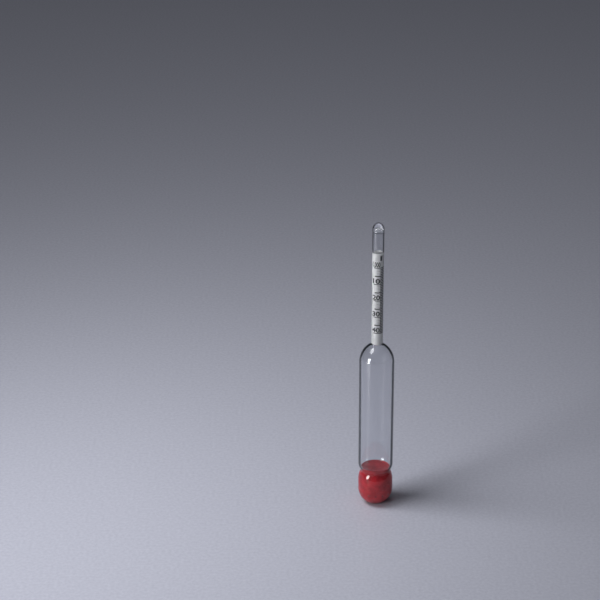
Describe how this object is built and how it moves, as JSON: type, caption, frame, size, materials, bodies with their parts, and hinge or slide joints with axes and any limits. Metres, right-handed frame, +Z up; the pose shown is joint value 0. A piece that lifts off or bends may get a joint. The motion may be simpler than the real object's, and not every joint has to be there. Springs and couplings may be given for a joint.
{
  "type": "hydrometer",
  "caption": "Small glass hydrometer: thin closed stem with a rolled paper scale, straight body, narrow waist and a round bulb of red wax and shot.",
  "frame": {"origin": "middle of the flattened foot under the ballast bulb, the lowest point", "axes": "+Z up along the axis of the glass to the tip of the stem; -Y is the side that the picture shows"},
  "size_m": [0.013, 0.013, 0.115],
  "materials": {
    "glass": "clear, polished",
    "paper": "matt",
    "wax": "semi-gloss",
    "shot": "dull"
  },
  "bodies": {
    "root": {"glass_envelope": "glass", "paper_scale": "paper", "red_wax": "wax", "lead_shot": "shot"}
  },
  "joints": []
}
